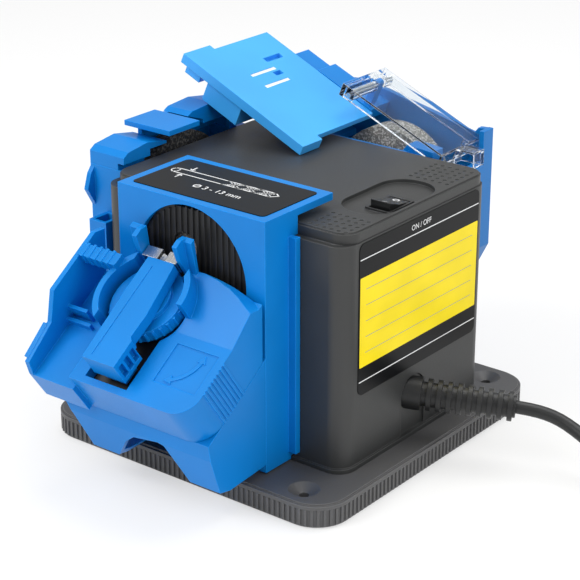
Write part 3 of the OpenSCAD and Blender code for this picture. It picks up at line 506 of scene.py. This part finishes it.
# Route of the cord in millimetres, the same points as the solids have.
CORD_OUT = [(133.5, 25.5, 35.75), (146, 31, 34.3), (157, 35, 31), (171, 35, 26), (186, 33, 19.5), (201, 29, 13),
            (216, 23, 8), (231, 16, 5), (246, 8, 3.75), (261, 1.5, 3.75), (276, -2.7, 3.75), (291, -4.4, 3.75)]
CORD_TAIL = [(291, 90.7, 10.2), (277, 91, 10.2), (263, 92.5, 10), (250, 96, 8.4), (238, 102, 6), (228, 110, 4.2),
             (220, 119, 3.75), (212, 129, 4.5), (203, 138, 6.5), (193, 145, 8)]
COIL_CENTRE = (291, 45)
COIL_TURNS = 5.5
COIL_STEPS_PER_TURN = 28


def coil_route():
    """Three turns inwards on the floor, then two and a half outwards on top of them."""
    # turn, radius and height at which the cord changes its run
    stops = [(0, 49.4, 3.75), (1, 42.0, 3.75), (2, 34.6, 3.75), (2.7, 34.6, 3.75), (3.0, 38.3, 10.2),
             (4.0, 38.3, 10.2), (4.4, 45.7, 10.2), (COIL_TURNS, 45.7, 10.2)]
    out = []
    steps = int(COIL_TURNS * COIL_STEPS_PER_TURN)
    for i in range(1, steps):
        t = COIL_TURNS * i / steps
        for (t0, r0, z0), (t1, r1, z1) in zip(stops, stops[1:]):
            if t0 <= t <= t1:
                k = (t - t0) / (t1 - t0)
                k = k * k * (3 - 2 * k)
                r, z = r0 + (r1 - r0) * k, z0 + (z1 - z0) * k
                break
        a = math.radians(-90 + 360 * t)
        out.append((COIL_CENTRE[0] + r * math.cos(a), COIL_CENTRE[1] + r * math.sin(a), z))
    return out


def smooth_route(points, cuts):
    """Catmull-Rom points between the given ones."""
    pts = [Vector(p) for p in points]
    out = []
    for i in range(len(pts) - 1):
        p0, p1, p2, p3 = pts[max(i - 1, 0)], pts[i], pts[i + 1], pts[min(i + 2, len(pts) - 1)]
        for k in range(cuts):
            t = k / cuts
            out.append(0.5 * ((2 * p1) + (p2 - p0) * t + (2 * p0 - 5 * p1 + 4 * p2 - p3) * t * t
                              + (3 * p1 - p0 - 3 * p2 + p3) * t ** 3))
    out.append(pts[-1])
    return out


class SHARPENER_OT_cord(bpy.types.Operator):
    """Power cord from the boot to the plug, with its unseen length in a tied coil"""

    bl_idname = "sharpener.cord"
    bl_label = "Power Cord"

    def execute(self, context):
        route = smooth_route(CORD_OUT, 3) + [Vector(p) for p in coil_route()] + smooth_route(CORD_TAIL, 3)
        route = [p * MM for p in route]
        curve = bpy.data.curves.new("power_cord_line", "CURVE")
        curve.dimensions = "3D"
        curve.bevel_depth = look().cord_diameter / 2
        curve.bevel_resolution = 5
        curve.use_fill_caps = True
        spline = curve.splines.new("POLY")
        spline.points.add(len(route) - 1)
        for point, co in zip(spline.points, route):
            point.co = (*co, 1.0)
        cord = bpy.data.objects.new("power_cord_line", curve)
        context.scene.collection.objects.link(cord)
        curve.materials.append(KIT["pvc"])
        spline.use_smooth = True
        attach(cord, "base")
        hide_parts("power_cord", "cord_coil")
        return {"FINISHED"}


class SHARPENER_OT_finishes(bpy.types.Operator):
    """Gives every solid of the sharpener its real finish"""

    bl_idname = "sharpener.finishes"
    bl_label = "Finishes"

    def execute(self, context):
        done = set()
        for finish, names in FINISH.items():
            for name in names:
                for s in NODES[name].material_slots:
                    s.material = KIT[finish]
                done.add(name)
        missing = set(NODES) - done
        if missing:
            raise RuntimeError(f"no finish for {sorted(missing)}")
        return {"FINISHED"}


class SHARPENER_OT_base_ribs(bpy.types.Operator):
    """Upright grip ribs all round the edge of the base plate"""

    bl_idname = "sharpener.base_ribs"
    bl_label = "Base Ribs"

    def execute(self, context):
        low, high = (Vector(v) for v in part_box("base_plate"))
        half = (high - low) / 2
        r = BASE_CORNER
        # Each rib reaches out to the lip's outline, and back through the recessed wall that is rib_depth behind it.
        thick = look().rib_depth * 1.6
        inset = thick / 2
        z0, z1 = RIBS_ABOVE_UNDERSIDE, high.z - RIBS_BELOW_TOP
        bm = bmesh.new()

        def rib(x, y, angle):
            """One rib at (x, y) facing along angle, about half a pitch wide and narrower at its outer face."""
            turn = Matrix.Rotation(angle, 3, "Z")
            size = (thick, look().rib_pitch * 0.52, z1 - z0)
            made = add_block(bm, (x, y, (z0 + z1) / 2), size, turn)
            out = turn @ Vector((1, 0, 0))
            for v in made:
                if (v.co - Vector((x, y, v.co.z))).dot(out) > 0:
                    side = turn @ Vector((0, 1, 0))
                    v.co -= side * ((v.co - Vector((x, y, v.co.z))).dot(side)) * 0.35
        for axis in (0, 1):
            run = (half.y if axis == 0 else half.x) - r
            count = round(2 * run / look().rib_pitch)
            for i in range(count + 1):
                t = -run + 2 * run * i / count
                for s in (-1, 1):
                    if axis == 0:
                        rib(s * (half.x - inset), t, 0 if s > 0 else math.pi)
                    else:
                        rib(t, s * (half.y - inset), s * math.pi / 2)
        count = round(r * math.pi / 2 / look().rib_pitch)
        for sx in (-1, 1):
            for sy in (-1, 1):
                mid = math.atan2(sy, sx)
                for i in range(1, count):
                    a = mid - math.pi / 4 + math.pi / 2 * i / count
                    rib(sx * (half.x - r) + (r - inset) * math.cos(a),
                        sy * (half.y - r) + (r - inset) * math.sin(a), a)
        piece_from("base_grip_ribs", bm, "base_abs", "base")
        return {"FINISHED"}


class SHARPENER_OT_side_print(bpy.types.Operator):
    """Printing on the side sticker: yellow field, rules and the switch lettering"""

    bl_idname = "sharpener.side_print"
    bl_label = "Side Print"

    def execute(self, context):
        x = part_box("side_label")[1][0]

        def place(u, v, h):
            return Vector((x + FILM_GAP + h, u, v))
        bm = bmesh.new()
        add_plate(bm, rounded_ring(*YELLOW_FIELD, r=0.0006, steps=3), FILM_THICK, place)
        piece_from("label_yellow_field", bm, "sticker_yellow", "base")
        bm = bmesh.new()
        for v in WHITE_RULES_Z:
            add_strip(bm, [(YELLOW_FIELD[0], v), (YELLOW_FIELD[2], v)], look().ink_width * 0.8, FILM_THICK, place)
        piece_from("label_rules", bm, "ink_white", "base")
        turn = Matrix(((0, 0, 1, x + WORDS_LIFT), (1, 0, 0, 0.0), (0, 1, 0, 0.0), (0, 0, 0, 1)))
        words("label_on_off", "ON / OFF", size=0.0044, material="ink_white",
              matrix=turn @ Matrix.Translation(ON_OFF_PLACE), body="base")
        # thin rules inside the field, as on a blank form
        bm = bmesh.new()

        def inner(u, v, h):
            return Vector((x + OVER_FILM + h, u, v))
        for i in range(FORM_RULES):
            v = FORM_TOP - i * FORM_PITCH
            add_strip(bm, [(FORM_SPAN[0], v), (FORM_SPAN[1], v)], width=0.0003, thick=0.00004, place=inner)
        piece_from("label_field_rules", bm, "ink_grey", "base")
        return {"FINISHED"}


def twist_drill_lines():
    """Outline of a twist drill lying along u, shank left, in millimetres."""
    r = 3.1
    lines = [[(-38, r), (-4, r)], [(-38, -r), (-4, -r)],
             [(-38, r), (-40, 2.2), (-41, 0), (-40, -2.2), (-38, -r)],
             [(-38, r), (-36.6, 1.6), (-36.2, 0), (-36.6, -1.6), (-38, -r)]]
    # two flutes, each with the line of its land beside it
    for side in (r, -r):
        wave = [(-4 + k, side * math.cos(math.radians(k * 180 / 11))) for k in range(34)]
        lines += [wave, [(u + 2.6, v * 0.92) for u, v in wave[:-3]]]
    return lines + [[(29, r), (32.6, 0.4), (29, -r)], [(-4, r), (29, r)], [(-4, -r), (29, -r)]]


class SHARPENER_OT_size_print(bpy.types.Operator):
    """Drill outline and size range printed on the top sticker"""

    bl_idname = "sharpener.size_print"
    bl_label = "Size Print"

    def execute(self, context):
        low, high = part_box("size_label")
        cy, z = (low[1] + high[1]) / 2, high[2]

        def place(u, v, h):
            return Vector((u, cy + v, z + FILM_GAP + h))
        bm = bmesh.new()
        for line in twist_drill_lines():
            add_strip(bm, [(u * MM, (v + DRILL_RISE) * MM) for u, v in line], look().ink_width, FILM_THICK, place)
        for s in (1, -1):
            # one arrow from each side, for the diameter
            tip = (-31.0, DRILL_RISE + s * 3.6)
            for part in ([(tip[0], tip[1] + s * 5.5), tip], [(tip[0] - 1.4, tip[1] + s * 2.2), tip],
                         [(tip[0] + 1.4, tip[1] + s * 2.2), tip]):
                add_strip(bm, [(u * MM, v * MM) for u, v in part], look().ink_width, FILM_THICK, place)
        piece_from("size_drawing", bm, "ink_white", "drill_unit")
        words("size_range", "Ø 3 - 13 mm", size=0.0062, material="ink_white",
              matrix=Matrix.Translation((0.002, cy - 0.0085, z + WORDS_LIFT)), body="drill_unit")
        return {"FINISHED"}


class SHARPENER_OT_switch_marks(bpy.types.Operator):
    """Ring and bar marks on the rocker's two halves"""

    bl_idname = "sharpener.switch_marks"
    bl_label = "Switch Marks"

    def execute(self, context):
        def on(face_end, t, x, lift):
            """The point at share t from the crest to a face's outer end, lift above the face."""
            (y0, z0), (y1, z1) = ROCKER_CREST, face_end
            n = Vector((1, 0, 0)).cross(Vector((0, y1 - y0, z1 - z0))).normalized()
            if n.z < 0:
                n = -n
            return Vector((x, y0 + (y1 - y0) * t, z0 + (z1 - z0) * t)) + n * lift
        low_lift, high_lift = 0.00003, 0.00009
        bm = bmesh.new()
        # OFF ring on the rear face
        steps = 28
        profile = ((0.0013, low_lift), (0.0020, low_lift), (0.0020, high_lift), (0.0013, high_lift))
        rings = []
        for i in range(steps):
            ang = 2 * math.pi * i / steps
            rings.append([bm.verts.new(on(ROCKER_REAR, 0.66 + r * math.sin(ang) / ROCKER_REAR_LENGTH,
                                          ROCKER_MIDDLE_X + r * math.cos(ang), h)) for r, h in profile])
        for i in range(steps):
            for k in range(4):
                bm.faces.new((rings[i][k], rings[i][(k + 1) % 4], rings[(i + 1) % steps][(k + 1) % 4],
                              rings[(i + 1) % steps][k]))
        # ON bar on the front face
        bar = ((0.3, 0.0695), (0.3, 0.0703), (0.75, 0.0703), (0.75, 0.0695))
        low = [bm.verts.new(on(ROCKER_FRONT, t, x, low_lift)) for t, x in bar]
        high = [bm.verts.new(on(ROCKER_FRONT, t, x, high_lift)) for t, x in bar]
        bm.faces.new(low)
        bm.faces.new(high)
        for i in range(4):
            bm.faces.new((low[i], low[(i + 1) % 4], high[(i + 1) % 4], high[i]))
        bmesh.ops.recalc_face_normals(bm, faces=bm.faces)
        piece_from("switch_marks", bm, "ink_white", "rocker")
        return {"FINISHED"}


class SHARPENER_OT_screw_recesses(bpy.types.Operator):
    """Cross recesses in the heads of the two lid screws, drawn as thin black crosses that paint the shade inside
    them.
    """

    bl_idname = "sharpener.screw_recesses"
    bl_label = "Screw Recesses"

    def execute(self, context):
        bm = bmesh.new()
        for x, y, z in LID_SCREWS:
            for turn in (0, 90):
                rot = Matrix.Rotation(math.radians(turn + 20), 3, "Z")
                # A flat black cross on each head stands for the recess: painted shade.
                add_block(bm, (x, y, z + 0.00002), (0.0034, 0.0008, 0.0001), rot)
        piece_from("lid_screw_recess_shade", bm, "black_abs", "base")
        return {"FINISHED"}


class SHARPENER_OT_stage(bpy.types.Operator):
    """Pale bench and soft studio lamps"""

    bl_idname = "sharpener.stage"
    bl_label = "Stage and Lights"

    def execute(self, context):
        # Matt white bench paint, which the camera and the metal see as nearly white, with the shadow on it.
        mat, tree, surface = new_material("painted_bench_matt", Roughness=0.9)
        coords = add_node(tree, "ShaderNodeTexCoord", out="Object")
        tone = add_node(tree, "ShaderNodeTexNoise",
                        {"Vector": coords, "Scale": 1000 / 400.0, "Detail": 1.0, "Roughness": 0.55})
        tint = add_node(tree, "ShaderNodeValToRGB", {"Fac": tone},
                        stops=[(0.2, hex_linear("#F2F2F2")), (0.8, hex_linear("#F6F6F6"))])
        fill_inputs(surface, {"Base Color": tint})
        glow = add_node(tree, "ShaderNodeEmission", {"Color": (1, 1, 1, 1), "Strength": 1.0})
        rays = add_node(tree, "ShaderNodeLightPath").node.outputs
        seen = add_node(tree, "ShaderNodeMath", {0: rays["Is Camera Ray"], 1: rays["Is Glossy Ray"]},
                        operation="ADD", use_clamp=True)
        weight = add_node(tree, "ShaderNodeMath", {0: seen, 1: FLOOR_GLOW}, operation="MULTIPLY")
        mix = add_node(tree, "ShaderNodeMixShader", {0: weight, 1: surface.outputs[0], 2: glow})
        fill_inputs(next(n for n in tree.nodes if n.type == "OUTPUT_MATERIAL"), {"Surface": mix})
        bm = bmesh.new()
        bmesh.ops.create_grid(bm, x_segments=8, y_segments=8, size=6.0)
        mesh = bpy.data.meshes.new("bench_top")
        bm.to_mesh(mesh)
        bm.free()
        floor = bpy.data.objects.new("bench_top", mesh)
        context.scene.collection.objects.link(floor)
        mesh.materials.append(mat)
        world = bpy.data.worlds.new("studio")
        world.use_nodes = True
        tree = world.node_tree
        tree.nodes.clear()
        rays = add_node(tree, "ShaderNodeLightPath").node.outputs
        seen = add_node(tree, "ShaderNodeMath", {0: rays["Is Camera Ray"], 1: rays["Is Transmission Ray"]},
                        operation="ADD", use_clamp=True)
        soft = add_node(tree, "ShaderNodeBackground", {"Color": (1, 1, 1, 1), "Strength": SKY_STRENGTH})
        white = add_node(tree, "ShaderNodeBackground", {"Color": (1, 1, 1, 1), "Strength": 1.0})
        mix = add_node(tree, "ShaderNodeMixShader", {0: seen, 1: soft, 2: white})
        add_node(tree, "ShaderNodeOutputWorld", {"Surface": mix})
        context.scene.world = world
        for name, place, size, power in SOFTBOXES:
            data = bpy.data.lights.new(name, "AREA")
            data.shape = "SQUARE"
            data.size = size
            data.energy = power
            lamp = bpy.data.objects.new(name, data)
            context.scene.collection.objects.link(lamp)
            aim = Vector(SOFTBOX_AIM) - Vector(place)
            lamp.matrix_world = Matrix.Translation(place) @ aim.to_track_quat("-Z", "Y").to_matrix().to_4x4()
        context.scene.view_settings.view_transform = "Standard"
        return {"FINISHED"}


STEPS = [SHARPENER_OT_camera, SHARPENER_OT_cord, SHARPENER_OT_finishes, SHARPENER_OT_base_ribs,
         SHARPENER_OT_side_print, SHARPENER_OT_size_print, SHARPENER_OT_switch_marks, SHARPENER_OT_screw_recesses,
         SHARPENER_OT_stage]


class SHARPENER_PT_panel(bpy.types.Panel):
    """Lists the sharpener's settings and building steps"""

    bl_idname = "SHARPENER_PT_panel"
    bl_label = "Bench Sharpener"
    bl_space_type = "VIEW_3D"
    bl_region_type = "UI"
    bl_category = "Sharpener"

    def draw(self, context):
        column = self.layout.column()
        for key in SharpenerLook.__annotations__:
            column.prop(context.scene.sharpener_look, key)
        for step in STEPS:
            column.operator(step.bl_idname)


CLASSES = [SharpenerLook, *STEPS, SHARPENER_PT_panel]


def register():
    """Registers the settings, the operators and the panel."""
    for cls in CLASSES:
        bpy.utils.register_class(cls)
    bpy.types.Scene.sharpener_look = bpy.props.PointerProperty(type=SharpenerLook)


def unregister():
    """Takes back what register did."""
    del bpy.types.Scene.sharpener_look
    for cls in reversed(CLASSES):
        bpy.utils.unregister_class(cls)


def main():
    """Dresses the sharpener."""
    register()
    KIT.update(make_materials())
    for step in STEPS:
        group, name = step.bl_idname.split(".")
        getattr(getattr(bpy.ops, group), name)()


if __name__ == "__main__":
    main()
